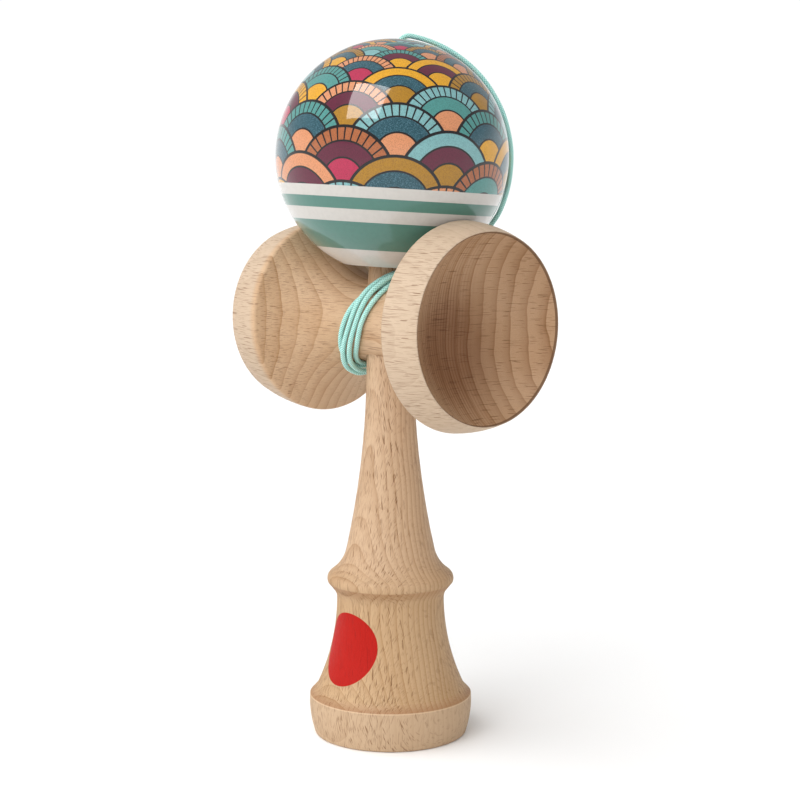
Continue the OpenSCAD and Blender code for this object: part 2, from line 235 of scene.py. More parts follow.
class Finish(Sheet):
    """A material: its nodes and its Principled shader."""

    def __init__(self, name, **constants):
        self.material = bpy.data.materials.new(name)
        self.material.use_nodes = True
        super().__init__(self.material.node_tree)
        self.surface(**constants)

    def surface(self, **sockets):
        shader = self.tree.nodes["Principled BSDF"]
        for name, given in sockets.items():
            self.feed(shader.inputs[name.replace("_", " ")], given)

    def object_place(self):
        return self.add("ShaderNodeTexCoord", {}, {}, output="Object")

    def bump(self, height, depth, strength=1.0):
        sockets = {"Strength": strength, "Distance": depth, "Height": height}
        self.surface(Normal=self.add("ShaderNodeBump", {}, sockets))

    def put_on(self, *pieces):
        for piece in pieces:
            piece.data.materials.clear()
            piece.data.materials.append(self.material)


class Beech(Finish):
    """Bare beech: growth rings that lie across y, fine fibres along the grain, and rays: thin dark sheets
    that run in through the rings and show as dashes where they are cut on edge."""

    early = (0.575, 0.395, 0.250, 1)
    late = (0.345, 0.186, 0.084, 1)
    fleck = (0.175, 0.082, 0.034, 1)
    pale = (0.640, 0.470, 0.325, 1)
    honey = (0.430, 0.250, 0.120, 1)
    gloss = 0.16
    least_rough, fibre_rough = 0.50, 0.16
    relief, relief_strength = 0.00008, 0.5
    fibre_lift, bold_sink, faint_sink, ring_sink = 0.5, 0.7, 0.4, 0.3

    # Each figure in the wood: how many to the metre, and its shares along the grain and through the rings.
    cloud_scale, cloud_stretch = 70.0, (0.25, 1.0)
    pale_shows, pale_share = (0.40, 0.75), 0.30
    honey_shows, honey_share = (0.25, 0.50), 0.34
    fibre_scale, fibre_stretch = 5200.0, (0.03, 1.0)
    fibre_shows, fibre_share = (0.35, 0.8), 0.22
    wander_scale, wander_stretch, wander_rings = 42.0, (0.3, 0.5), 1.5
    bend_scale, bend_stretch = 85.0, (0.7, 0.6)
    ripple_scale, ripple_stretch, ripple_rings = 240.0, (0.4, 1.0), 0.24

    pith_away = 0.110
    ring_greys = ((0.0, 0.0), (0.45, 0.14), (0.82, 0.46), (0.92, 0.75), (0.965, 1.0), (0.995, 0.0))
    least_ring = 0.5

    ray_detail = 0.3
    bold_size, bold_shows = 0.42, (0.65, 0.71)
    faint_size, faint_shows = 0.56, (0.61, 0.69)
    faint_share = 0.55
    flat_cut = (0.80, 1.0)
    flat_cut_share = 0.3

    def __init__(self, name, grain, middle, tone, offset, ring_gap, ring_depth, sway, ray_width,
                 ray_long_share, ray_deep_share, ray_lean, ray_dark):
        super().__init__(name, Specular_IOR_Level=self.gloss)
        self.x, self.y, self.z = self.split(self.object_place())
        up = self.z - middle
        self.along, self.aside = (up, self.x) if grain == "z" else (self.x, up)
        self.across = self.y + offset
        self.girth = (self.y ** 2 + self.aside ** 2).root()
        band = self.grow_rings(ring_gap, sway) * ring_depth
        self.grow_rays(ray_width, ray_long_share, ray_deep_share, ray_lean)
        self.ray_dark = ray_dark
        cloud = self.figure(self.cloud_scale, self.cloud_stretch, 2.0)
        fibres = self.figure(self.fibre_scale, self.fibre_stretch, 2.0, 0.6)
        colour = self.mix(band, self.early, self.late)
        colour = self.mix(cloud.rise(*self.pale_shows) * self.pale_share, colour, self.pale)
        colour = self.mix(cloud.fall(*self.honey_shows) * self.honey_share, colour, self.honey)
        colour = self.mix(1.0, colour, (tone, tone, tone, 1), "MULTIPLY")
        self.plain = self.mix(fibres.rise(*self.fibre_shows) * self.fibre_share, colour, self.late)
        self.colour = self.flecked(self.plain)
        self.surface(Roughness=fibres * self.fibre_rough + self.least_rough)
        height = (fibres * self.fibre_lift - self.bold * self.bold_sink - self.faint * self.faint_sink
                  - band * self.ring_sink)
        self.bump(height, self.relief, self.relief_strength)

    def figure(self, scale, stretch, detail=0.0, rough=0.5):
        """Noise in the wood, drawn out along the grain and through the rings."""
        along_share, across_share = stretch
        place = self.point(self.along * along_share, self.across * across_share, self.aside)
        return self.noise(place, scale, detail, rough)

    def grow_rings(self, gap, sway):
        """Growth rings about a pith outside the piece: how dark each is, from early to late wood."""
        wander = self.figure(self.wander_scale, self.wander_stretch, 1.0) - 0.5
        ripple = self.figure(self.ripple_scale, self.ripple_stretch, 1.0) - 0.5
        bend = self.figure(self.bend_scale, self.bend_stretch) - 0.5
        from_pith = ((self.across + self.pith_away) ** 2 + self.aside ** 2).root()
        self.deep = from_pith + wander * (self.wander_rings * gap)
        rings = self.deep / gap + ripple * self.ripple_rings + bend * sway
        self.ring_place = rings % 1.0
        greys = [(place, (grey, grey, grey, 1)) for place, grey in self.ring_greys]
        shade = self.ramp(self.ring_place, "LINEAR", *greys)
        chance = self.add("ShaderNodeTexWhiteNoise", {"noise_dimensions": "1D"}, {"W": rings.floor()})
        return shade * (chance * (1 - self.least_ring) + self.least_ring)

    def grow_rays(self, width, long_share, deep_share, lean):
        """Bold and faint rays, which lean either way along the grain and fade where they are cut flat."""
        on_edge = ((abs(self.aside) / self.girth).fall(*self.flat_cut) * (1 - self.flat_cut_share)
                   + self.flat_cut_share)
        along, across = self.along * long_share, self.across * deep_share
        slant = self.along * lean
        right = self.point(along, across, self.aside + slant)
        left = self.point(along, across, self.aside - slant)
        bold = self.noise(right, self.bold_size / width, self.ray_detail)
        faint = self.noise(left, self.faint_size / width, self.ray_detail)
        self.bold = bold.rise(*self.bold_shows) * on_edge
        self.faint = faint.rise(*self.faint_shows) * on_edge

    def flecked(self, wood):
        """A plain wood with the rays drawn on it."""
        return self.mix((self.bold + self.faint * self.faint_share) * self.ray_dark, wood, self.fleck)


handle_beech = Beech("handle_beech", grain="z", middle=0.0, tone=0.90, offset=0.004,
                     ring_gap=0.0015, ring_depth=1.0, sway=1.7, ray_width=0.000085, ray_long_share=0.068,
                     ray_deep_share=0.15, ray_lean=0.17, ray_dark=0.70)
handle_up = handle_beech.z
on_body = handle_up.within(*body_reach)
on_ring = handle_up.fall(*ring_face_top) * ring_plain_share
on_crease = (handle_up.within(*ring_crease) * ring_crease_share
             + handle_up.within(*collar_crease) * collar_crease_share)
# Painted highlight: a pale line along the arris of the base ring.
arris_highlight_mask = abs(handle_up - ring_arris).fall(*arris_half) * arris_highlight_share
handle_colour = handle_beech.mix(on_body, handle_beech.colour, body_gold, "MULTIPLY")
handle_colour = handle_beech.mix(on_ring, handle_colour, handle_beech.flecked(ring_wood))
handle_colour = handle_beech.mix(on_crease, handle_colour, crease_brown)
handle_colour = handle_beech.mix(arris_highlight_mask, handle_colour, painted_arris_highlight)
disc_beside = handle_beech.x.angle_over(handle_beech.y * -1.0) * handle_beech.girth
disc_above = (handle_up - disc_height) * disc_slope_share
disc_away = (disc_beside ** 2 + disc_above ** 2).root()
on_disc = disc_away.fall(disc_radius - disc_blur, disc_radius + disc_blur)
disc_colour = handle_beech.mix(handle_beech.bold * disc_ray_share, disc_red, disc_dark)
handle_beech.surface(Base_Color=handle_beech.mix(on_disc, handle_colour, disc_colour))
handle_beech.put_on(nodes["ken"])


# Cross piece: one piece of beech with a cup turned into each end, wedged on the handle's taper.
# Its grain runs from cup to cup. The hollows show darker end grain, with fine lines on the near side and
# broad ones on the far side, and a soft patch of painted shade a little below the middle of each; the
# sharp rims are burnished to a thin brown line.
cross_low, cross_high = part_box("sarado")
cross_height = (cross_low.z + cross_high.z) / 2
cross_half = cross_high.x
big_cup_radius, big_cup_depth = 0.0238, 0.0140
small_cup_radius, small_cup_depth = 0.0231, 0.0130
hollow_blur = (0.00006, 0.00014)
end_grain = (0.78, 0.715, 0.66, 1)
# Painted shade: a dark brown patch in each hollow, a little below its middle and toward the near side.
painted_hollow_shade = (0.35, 0.235, 0.175, 1)
shade_middle_y, shade_middle_up = -0.0020, -0.0055
shade_squash = 0.8
shade_reach = (0.0045, 0.0185)
shade_share = 0.82
fine_line_gap = 0.00095
fine_line_shows, fine_line_side = (0.45, 0.95), (-0.003, 0.008)
fine_line_share = 0.36
broad_line_shows, broad_line_side = (0.30, 0.97), (-0.002, 0.010)
broad_line_share = 0.18
hollow_ray_width = 0.00007
hollow_ray_long_share, hollow_ray_deep_share = 0.08, 0.027
hollow_ray_detail, hollow_ray_shows = 0.4, (0.65, 0.72)
hollow_ray_dark = 0.60
chamfer = 0.0003
rim_line_near, rim_line_far = 0.00018, 0.00036
rim_line_side = (-0.010, 0.012)
rim_line_blur = (0.7, 1.3)
rim_brown = (0.110, 0.052, 0.025, 1)
rim_share = 0.8
band_edge = (0.0250, 0.0275)
band_wood = (0.525, 0.425, 0.325, 1)
band_plain_share = 0.65

cross_beech = Beech("cross_beech", grain="x", middle=cross_height, tone=0.99, offset=-0.003,
                    ring_gap=0.0034, ring_depth=1.0, sway=0.0, ray_width=0.000070, ray_long_share=0.026,
                    ray_deep_share=0.11, ray_lean=0.02, ray_dark=0.56)
cross_x, cross_y, cross_up = cross_beech.x, cross_beech.y, cross_beech.aside
by_small_cup = cross_x < 0.0


def of_cup(big, small):
    """A size of the big cup on its side of the handle, and of the small cup on the other."""
    return by_small_cup * (small - big) + big


def hollow_sphere(radius, depth):
    """Radius of the sphere that a hollow is a cap of."""
    return (radius ** 2 + depth ** 2) / (2 * depth)


cup_radius = of_cup(big_cup_radius, small_cup_radius)
cup_depth = of_cup(big_cup_depth, small_cup_depth)
cup_sphere = of_cup(hollow_sphere(big_cup_radius, big_cup_depth),
                    hollow_sphere(small_cup_radius, small_cup_depth))
end_away = cross_half - abs(cross_x)
hollow_away = ((cup_sphere - cup_depth + end_away) ** 2 + cross_beech.girth ** 2).root() - cup_sphere
in_hollow = hollow_away.fall(*hollow_blur)
# Painted shade in the hollows, mixed with the grain's fine and broad lines.
shade_away = ((cross_y - shade_middle_y) ** 2 + ((cross_up - shade_middle_up) * shade_squash) ** 2).root()
fine_line_place = cross_beech.deep / fine_line_gap % 1.0
fine_lines = fine_line_place.rise(*fine_line_shows) * cross_y.fall(*fine_line_side)
broad_lines = cross_beech.ring_place.rise(*broad_line_shows) * cross_y.rise(*broad_line_side)
hollow_shade_and_lines = (shade_away.fall(*shade_reach) * shade_share + fine_lines * fine_line_share
               + broad_lines * broad_line_share)
hollow_grain_and_shade = cross_beech.mix(hollow_shade_and_lines, end_grain, painted_hollow_shade)
hollow_ray_place = cross_beech.point(cross_x * hollow_ray_long_share, cross_y * hollow_ray_deep_share,
                                     cross_up)
hollow_rays = cross_beech.noise(hollow_ray_place, cross_beech.bold_size / hollow_ray_width,
                                hollow_ray_detail)
hollow_flecks = hollow_rays.rise(*hollow_ray_shows) * hollow_ray_dark
hollow_wood = cross_beech.mix(hollow_flecks, cross_beech.plain, cross_beech.fleck)
hollow_wood = cross_beech.mix(1.0, hollow_wood, hollow_grain_and_shade, "MULTIPLY")
rim_away = ((cross_beech.girth - cup_radius) ** 2 + (end_away - chamfer / 2) ** 2).root()
rim_line = cross_y.rise(*rim_line_side) * (rim_line_far - rim_line_near) + rim_line_near
on_rim = (rim_away / rim_line).fall(*rim_line_blur) * rim_share
on_band = abs(cross_x).rise(*band_edge) * band_plain_share
cross_colour = cross_beech.mix(on_band, cross_beech.colour, cross_beech.flecked(band_wood))
cross_colour = cross_beech.mix(in_hollow, cross_colour, hollow_wood)
cross_beech.surface(Base_Color=cross_beech.mix(on_rim, cross_colour, rim_brown))
cross_beech.put_on(nodes["sarado"])


# Wound string: a round braided cord, knotted in the handle's cross hole, that comes out on the far side
# of the waist and goes three and a half times round it in two layers. It is limp, and held by its turns.
cord_d = 0.0013
cord_bend = 2.15 * cord_d
cord_light = (0.53, 0.90, 0.83, 1)
# Painted shade: the dark teal laid in the grooves between the braid's strands.
cord_groove_shade = (0.050, 0.26, 0.225, 1)
cord_worn = (0.50, 0.74, 0.67, 1)
cord_rough, plait_smooth = 0.9, 0.22
cord_relief, cord_relief_strength = 0.00004, 0.6
groove_shade_span, plait_lift = (0.05, 0.85), 0.6
yarn_scale, yarn_least, yarn_share = 6500.0, 0.82, 0.35
wear_scale, wear_shows, wear_share = 260.0, (0.45, 0.75), 0.22
plait_strands = 6
plait_stitch = 0.00072
plait_depth = 0.00015
plait_middle = 0.75
plait_steps = 6
plait_sides = 24
waist_r = 0.0104
waist_l = 0.006
waist_height = 0.1095
big_shoulder = (0.02695, 0.02674)
small_shoulder = (0.02465, 0.02575)
neck_r = 0.0062
strand_gap = 0.00062
layer = cord_d + strand_gap
pitch = layer * 1.17
spread_share = 0.3
# The winding's place along the cross piece on four sides of the waist, and its slant on the near one.
wind_near, wind_far = -0.0018, 0.0038
wind_top, wind_bottom = neck_r + 0.0024, neck_r + 0.003
wind_slant = 0.0056
wind_end, wind_step = 1260, 15
wind_passes = 4
tuck_depth, tuck_turn, tuck_half = 0.0015, 112, 45
wood_gap = 0.00015
lead_lift = 0.0002
lead_slant = 21
tail_points = 24
knot_floor = 0.0015
knot_l = 0.0035
knot_size = 0.00049
knot_points = 180
knot_swing = 1.9
off_axis = (0.6, 0.8, 0.1)


def sine(angle):
    return math.sin(math.radians(angle))


def cosine(angle):
    return math.cos(math.radians(angle))


def ease(share):
    return share * share * (3 - 2 * share)


def waist_at(along):
    """Radius of the cross piece at a place along it, between its shoulders."""
    shoulder_place, shoulder_r = big_shoulder if along > 0 else small_shoulder
    run, up = shoulder_place - waist_l / 2, shoulder_r - waist_r
    arc = (run * run + up * up) / (2 * up)
    past = max(abs(along) - waist_l / 2, 0)
    return waist_r + arc - math.sqrt(arc * arc - past * past)


def course(turn):
    """Place of the winding's middle along the cross piece at a turn: 0 is the near side, 90 the top."""
    middle = (wind_top + wind_bottom) / 2
    third = (wind_slant - middle) / 4
    away = (turn - tuck_turn + 180) % 360 - 180
    tuck = tuck_depth * cosine(90 * away / tuck_half) ** 2 if abs(away) < tuck_half else 0
    return ((wind_near + wind_far) / 4 * (1 + cosine(2 * turn))
            + (wind_near - wind_far) / 2 * cosine(turn)
            + (wind_top - wind_bottom) / 4 * (1 - cosine(2 * turn))
            + (middle + third) * sine(turn) + third * sine(3 * turn) - tuck)


def about_waist(along, turn, out):
    """A point so far along the cross piece, at a turn about it and so far out of its axis."""
    return np.array((along, -out * cosine(turn), waist_height + out * sine(turn)))


lead_out = waist_r + wood_gap + lead_lift + cord_d / 2
lead_bend = cosine(lead_slant) * cord_bend
lead_angle = math.degrees(math.asin(lead_bend / (lead_out - lead_bend)))
lead_turn = 180 - lead_angle
lead_y = (lead_out - cord_bend) * cosine(lead_angle)
lead_shift = course(lead_turn) - pitch / 2 - sine(lead_slant) * cord_bend * (1 + sine(lead_angle))


def place_in_bundle(done, turn):
    """Place of a strand beside and above the winding's middle after this many degrees."""
    if done < 0:
        share = ease((turn - 90) / (lead_turn - 90))
        return -pitch / 2 - lead_shift * share, lead_lift * share
    slot = math.floor(done / 360)
    part = done - 360 * slot
    if part <= 180:
        fold = 90 * (1 - abs(cosine(turn)) ** 3)
        side = -1 if slot in (0, 3) else 1
        if slot < 2:
            return side * pitch * (0.5 + cosine(fold)), 0
        return side * pitch / 2, layer * sine(fold)
    share = ease((part - 180) / 180)
    corner, bow = 225 + 90 * (slot + share), sine(180 * share)
    beside = pitch * cosine(corner) / math.sqrt(2) * (1 + spread_share * bow)
    return beside, layer * (0.5 + sine(corner) / math.sqrt(2) + (1 / math.sqrt(2) - 0.5) * bow)


def strand(done):
    """Point of the winding's middle line, in degrees from its first pass over the top of the waist."""
    turn = 90 - done
    beside, above = place_in_bundle(done, turn)
    along = course(turn) + beside
    return about_waist(along, turn, waist_at(along) + wood_gap + cord_d / 2 + above)


def smooth_line(points, passes):
    """A finer line through all the points: each pass adds one point between every two."""
    line = np.array(points)
    for _ in range(passes):
        before = np.vstack((line[:1], line[:-2]))
        after = np.vstack((line[2:], line[-1:]))
        between = (9 * (line[:-1] + line[1:]) - before - after) / 16
        finer = np.empty((2 * len(line) - 1, 3))
        finer[0::2], finer[1::2] = line, between
        line = finer
    return line


def evenly(line, step):
    """The same line with its points a steady step apart, and its length."""
    lengths = np.concatenate(([0], np.cumsum(np.linalg.norm(np.diff(line, axis=0), axis=1))))
    places = np.linspace(0, lengths[-1], round(lengths[-1] / step) + 1)
    return np.column_stack([np.interp(places, lengths, line[:, k]) for k in range(3)]), lengths[-1]


def braided_tube(name, line, first_side=(0.31, 0.17, 0.94), first_place=0.0):
    """A braided cord along a line: strands that cross over and under stand out of a tube's surface.

    Returns the piece, its middle line, and the side and place at its end, where a next one goes on."""
    points, length = evenly(line, plait_stitch / plait_steps)
    ways = np.gradient(points, axis=0)
    ways /= np.linalg.norm(ways, axis=1)[:, None]
    sides = np.empty_like(points)
    side = np.array(first_side)
    for i, way in enumerate(ways):
        side = side - (side @ way) * way
        side /= np.linalg.norm(side)
        sides[i] = side
    turns = np.arange(plait_sides) / plait_sides
    places = first_place + np.linspace(0, length, len(points))[:, None]
    left = plait_strands * turns + places / plait_stitch
    right = plait_strands * turns - places / plait_stitch
    over_left = 0.5 + 0.5 * np.cos(np.pi * (right - 0.5 + np.floor(left)))
    over_right = 0.5 - 0.5 * np.cos(np.pi * (left - 0.5 + np.floor(right)))
    lift = np.maximum(np.sin(np.pi * (left % 1)) * over_left, np.sin(np.pi * (right % 1)) * over_right)
    radius = (cord_d / 2 + plait_depth * (lift - plait_middle))[:, :, None]
    angle = 2 * np.pi * turns[None, :, None]
    other = np.cross(ways, sides)
    rings = points[:, None] + radius * (np.cos(angle) * sides[:, None] + np.sin(angle) * other[:, None])
    here = np.arange(plait_sides)
    onward = (here + 1) % plait_sides
    rows = plait_sides * np.arange(len(points) - 1)[:, None]
    next_rows = rows + plait_sides
    walls = np.stack((rows + here, rows + onward, next_rows + onward, next_rows + here), axis=2)
    ends = [here[::-1].tolist(), (here + plait_sides * (len(points) - 1)).tolist()]
    mesh = bpy.data.meshes.new(name)
    mesh.from_pydata(rings.reshape(-1, 3), [], walls.reshape(-1, 4).tolist() + ends)
    plait_mark = mesh.attributes.new("plait", "FLOAT", "POINT")
    plait_mark.data.foreach_set("value", lift.ravel().astype(np.float32))
    mesh.shade_smooth()
    piece = bpy.data.objects.new(name, mesh)
    bpy.context.scene.collection.objects.link(piece)
    return piece, points, sides[-1], first_place + length


wind_start = 90 - lead_turn
lead_way = np.array((sine(lead_slant) * cosine(lead_angle), -sine(lead_angle),
                     cosine(lead_slant) * cosine(lead_angle)))
end_way = strand(wind_end) - strand(wind_end - 1)
end_way /= np.linalg.norm(end_way)
bend_way = np.array((sine(lead_slant), 0, cosine(lead_slant)))
tail_bend = [np.array((0, lead_y + cord_bend * sine(angle), waist_height))
             + bend_way * cord_bend * (1 - cosine(angle))
             for angle in np.linspace(0, 90 + lead_angle, tail_points)]
tail_line = np.vstack(([(0, -knot_floor, waist_height)], tail_bend))
turns_done = np.arange(wind_start + wind_step, wind_end - wind_step / 2, wind_step)
winding_points = ([strand(wind_start), strand(wind_start) + cord_d * lead_way]
                  + [strand(done) for done in turns_done]
                  + [strand(wind_end) - cord_d * end_way, strand(wind_end)])
wound_line = np.vstack((tail_line[:-1], smooth_line(winding_points, wind_passes)))
wound, wound_path, wound_side, wound_length = braided_tube("wound_string", wound_line)

cord_finish = Finish("braided_cord", Sheen_Weight=0.35, Sheen_Roughness=0.45, Specular_IOR_Level=0.3)
plait = cord_finish.add("ShaderNodeAttribute", {"attribute_name": "plait"}, {}, output="Fac")
cord_place = cord_finish.object_place()
yarn = cord_finish.noise(cord_place, yarn_scale, 1.0)
wear = cord_finish.noise(cord_place, wear_scale, 1.0)
# Painted shade: the grooves between the strands are dark teal, fading to the cord's mint on their tops;
# the yarn noise varies the tone at random.
groove_shade_fade = plait.rise(*groove_shade_span) * (yarn * yarn_share + yarn_least)
cord_colour = cord_finish.mix(groove_shade_fade, cord_groove_shade, cord_light)
cord_colour = cord_finish.mix(wear.rise(*wear_shows) * wear_share, cord_colour, cord_worn)
cord_finish.surface(Base_Color=cord_colour, Roughness=cord_rough - plait * plait_smooth)
cord_finish.bump(yarn + plait * plait_lift, cord_relief, cord_relief_strength)
cord_finish.put_on(wound)


def knot(name, middle, axis):
    """A tight knot in the cord: a trefoil drawn together about an axis."""
    axis = np.array(axis)
    first = np.cross(axis, off_axis)
    first /= np.linalg.norm(first)
    second = np.cross(axis, first)
    t = np.linspace(0, 2 * np.pi, knot_points)[:, None]
    line = (np.array(middle) + knot_size * ((np.sin(t) + 2 * np.sin(2 * t)) * first
                                            + (np.cos(t) - 2 * np.cos(2 * t)) * second
                                            + knot_swing * np.sin(3 * t) * axis))
    piece = braided_tube(name, line)[0]
    cord_finish.put_on(piece)
    return piece


handle_knot = knot("handle_knot", (0, -knot_floor - knot_l / 2, waist_height), (0, 1, 0))
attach(handle_knot, "ken")
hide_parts("ken_knot")
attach(wound, "ken")
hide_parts("string_tail", "string_winding")


# Ball: turned wood with a bevelled hole for the spike, printed in colours under a clear gloss lacquer.
# Rows of overlapping fans cover its upper part; below them lie two plain stripes on off-white.
ball_centre = Vector(joints["tama_spin"]["pos_m"])
ball_axis = Vector(joints["tama_spin"]["axis"])
ball_r = 0.030
ball_lean = math.acos(ball_axis.z)
ball_towards = math.atan2(ball_axis.y, ball_axis.x)
# The fans are measured in shares of the width that each takes up round the ball.
fans_round = 7
fan_row = 0.25
fan_radius = 0.5
outer_line, inner_line, core_line = 0.472, 0.352, 0.20
fan_line_half = (0.006, 0.011)
fan_blur = 0.004
rows_below = 10.0
hatch_lines = 36.0
hatch_shows = (0.72, 0.86)
hatched_share = 0.62
speckled_share = 0.50
# The print's edge and the stripes are heights along the ball's axis from its middle.
print_edge = -0.00805
print_blur = 0.00004
thin_stripe = (-0.0136, -0.0108)
wide_stripe = (-0.0236, -0.0167)
cap_radius = 0.0068
cap_blur = 0.00005
cap_ring_half = (0.00025, 0.00035)
upper_half = (-0.001, 0.001)
lacquer_depth = (0.0002, 0.0004)
print_rough, bore_rough = 0.32, 0.62
flow_scale, flow_relief, flow_strength = 420.0, 0.00003, 0.12
print_grain_scale = 4200.0
light_specks, light_speck_share = (0.48, 0.70), 0.8
dark_specks, dark_speck_share = (0.30, 0.42), 0.7
ink_shows, ink_share = (0.40, 0.70), 0.30
blotch_scale, blotch_shows, blotch_share = 900.0, (0.3, 0.8), 0.05
bore_grain_scale, bore_stretch, bore_shows = 1800.0, 0.05, (0.3, 0.7)
off_white = (0.530, 0.508, 0.475, 1)
stripe_teal = (0.070, 0.190, 0.155, 1)
ink_black = (0.006, 0.005, 0.006, 1)
mustard = (0.370, 0.180, 0.010, 1)
yellow = (0.680, 0.330, 0.012, 1)
peach = (0.620, 0.255, 0.120, 1)
salmon = (0.370, 0.115, 0.040, 1)
turquoise = (0.070, 0.260, 0.240, 1)
aqua = (0.190, 0.400, 0.410, 1)
petrol = (0.014, 0.066, 0.086, 1)
petrol_light = (0.10, 0.25, 0.33, 1)
petrol_dark = (0.010, 0.045, 0.070, 1)
plum = (0.105, 0.008, 0.030, 1)
magenta = (0.420, 0.018, 0.070, 1)
bore_brown = (0.52, 0.34, 0.20, 1)
bore_pale = (0.70, 0.50, 0.33, 1)
outer_colours = ((0.0, mustard), (0.24, peach), (0.42, turquoise), (0.58, yellow), (0.76, aqua),
                 (0.88, salmon))
inner_colours = ((0.0, petrol), (speckled_share, plum), (0.66, turquoise), (0.80, salmon))
core_colours = ((0.0, yellow), (0.26, magenta), (0.46, peach), (0.66, aqua), (0.82, mustard))

lacquer = Finish("printed_lacquer", Specular_IOR_Level=0.08, Coat_Roughness=0.025, Coat_IOR=1.5)
ball_place = lacquer.add("ShaderNodeMapping", {"vector_type": "TEXTURE"},
                         {"Vector": lacquer.object_place(), "Location": ball_centre,
                          "Rotation": (0, ball_lean, ball_towards)})
ball_east, ball_north, ball_up = lacquer.split(ball_place)
from_middle = (ball_east ** 2 + ball_north ** 2 + ball_up ** 2).root()
level = ball_up / from_middle
fan_scale = fans_round / (2 * math.pi)
round_place = ball_north.angle_over(ball_east) * fan_scale
up_place = ((1.0 + level) / (1.0 - level)).log() * (0.5 * fan_scale) + rows_below
first_row = ((up_place - fan_radius) / fan_row).ceiling()


def fan(row):
    """Distance from the middle of the row's nearest fan, beside it, above it, and the fan's number."""
    shift = (row % 2.0) * 0.5
    number = (round_place - shift + 0.5).floor()
    beside = round_place - shift - number
    above = up_place - row * fan_row
    return (beside ** 2 + above ** 2).root(), beside, above, number % float(fans_round)


in_first = fan(first_row)[0] < fan_radius
in_second = fan(first_row + 1.0)[0] < fan_radius
top_row = first_row + (1.0 - in_first) * (2.0 - in_second)
fan_out, fan_beside, fan_above, fan_number = fan(top_row)
fan_chance = lacquer.add("ShaderNodeTexWhiteNoise", {"noise_dimensions": "2D"},
                         {"Vector": lacquer.point(fan_number, top_row, 0.0)}, output="Color")
outer_chance, inner_chance, core_chance = lacquer.split(fan_chance)
print_grain = lacquer.noise(ball_place, print_grain_scale, 1.0)
blotch = lacquer.noise(ball_place, blotch_scale, 1.0)
speckled = lacquer.mix(print_grain.rise(*light_specks) * light_speck_share, petrol, petrol_light)
speckled = lacquer.mix(print_grain.fall(*dark_specks) * dark_speck_share, speckled, petrol_dark)
outer = lacquer.ramp(outer_chance, "CONSTANT", *outer_colours)
inner = lacquer.ramp(inner_chance, "CONSTANT", *inner_colours)
inner = lacquer.mix(inner_chance < speckled_share, inner, speckled)
core = lacquer.ramp(core_chance, "CONSTANT", *core_colours)
hatch = (fan_above.angle_over(fan_beside) * hatch_lines).cosine().rise(*hatch_shows)
hatched = (core_chance + outer_chance) % 1.0 < hatched_share
outer = lacquer.mix(hatch * hatched, outer, ink_black)
fan_lines = (abs(fan_out - inner_line).fall(*fan_line_half)
             + abs(fan_out - core_line).fall(*fan_line_half)
             + fan_out.rise(outer_line - fan_blur, outer_line + fan_blur))
pattern = lacquer.mix(fan_out.fall(inner_line - fan_blur, inner_line + fan_blur), outer, inner)
pattern = lacquer.mix(fan_out.fall(core_line - fan_blur, core_line + fan_blur), pattern, core)
pattern = lacquer.mix(fan_lines.at_most(1.0), pattern, ink_black)
pole_away = (ball_east ** 2 + ball_north ** 2).root()
on_top = ball_up.rise(*upper_half)
on_cap = pole_away.fall(cap_radius - cap_blur, cap_radius + cap_blur) * on_top
on_cap_ring = abs(pole_away - cap_radius).fall(*cap_ring_half) * on_top
pattern = lacquer.mix(on_cap, pattern, speckled)
pattern = lacquer.mix(on_cap_ring, pattern, mustard)
pattern = lacquer.mix(print_grain.rise(*ink_shows) * ink_share, pattern, ink_black)


def on_stripe(low, high):
    return ball_up.within(low - print_blur, low + print_blur, high - print_blur, high + print_blur)


striped = lacquer.mix(on_stripe(*thin_stripe) + on_stripe(*wide_stripe), off_white, stripe_teal)
striped = lacquer.mix(blotch.rise(*blotch_shows) * blotch_share, striped, ink_black)
painted = lacquer.mix(ball_up.rise(print_edge - print_blur, print_edge + print_blur), striped, pattern)
bare = from_middle.fall(ball_r - lacquer_depth[1], ball_r - lacquer_depth[0])
bore_place = lacquer.point(ball_east, ball_north, ball_up * bore_stretch)
bore_lines = lacquer.noise(bore_place, bore_grain_scale, 2.0)
bore_wood = lacquer.mix(bore_lines.rise(*bore_shows), bore_brown, bore_pale)
lacquer.surface(Base_Color=lacquer.mix(bare, painted, bore_wood),
                Roughness=bare * (bore_rough - print_rough) + print_rough, Coat_Weight=1.0 - bare)
lacquer.bump(lacquer.noise(ball_place, flow_scale, 1.0), flow_relief, flow_strength)
lacquer.put_on(nodes["tama"])


# Bead: a small turned stopper of pale close-grained wood in the top of the spike hole.
# The string passes through it and is knotted below it, and the ball turns against it.
bead_foot = 0.0125

bead_wood = Beech("bead_wood", grain="z", middle=0.0, tone=1.0, offset=0.001,
                  ring_gap=0.0009, ring_depth=0.45, sway=0.0, ray_width=0.0001, ray_long_share=0.08,
                  ray_deep_share=0.4, ray_lean=0.0, ray_dark=0.5)
bead_wood.surface(Base_Color=bead_wood.colour)
bead_wood.put_on(nodes["tama_bead"])

ball_z = np.array(ball_axis)
ball_x = np.array((math.cos(ball_lean) * math.cos(ball_towards),
                   math.cos(ball_lean) * math.sin(ball_towards), -math.sin(ball_lean)))
ball_y = np.array((-math.sin(ball_towards), math.cos(ball_towards), 0))


def in_ball(x, y, z):
    """A point given along the ball's own directions."""
    return np.array(ball_centre) + x * ball_x + y * ball_y + z * ball_z


ball_knot = knot("ball_knot", in_ball(0, 0, bead_foot - knot_l / 2), ball_z)
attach(ball_knot, "string_end")
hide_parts("tama_knot")


# Loose string: the same cord from the last turn of the winding, up behind the cross piece and over
# the far side of the ball, to the hole at its top and down through the bead to the knot.
run_gap = 0.0005
run_out = ball_r + run_gap + cord_d / 2
run_passes = 5
top_points = 5
top_rise = math.degrees(math.asin(cord_bend / (run_out - cord_bend)))
top_z = (run_out - cord_bend) * cosine(top_rise)
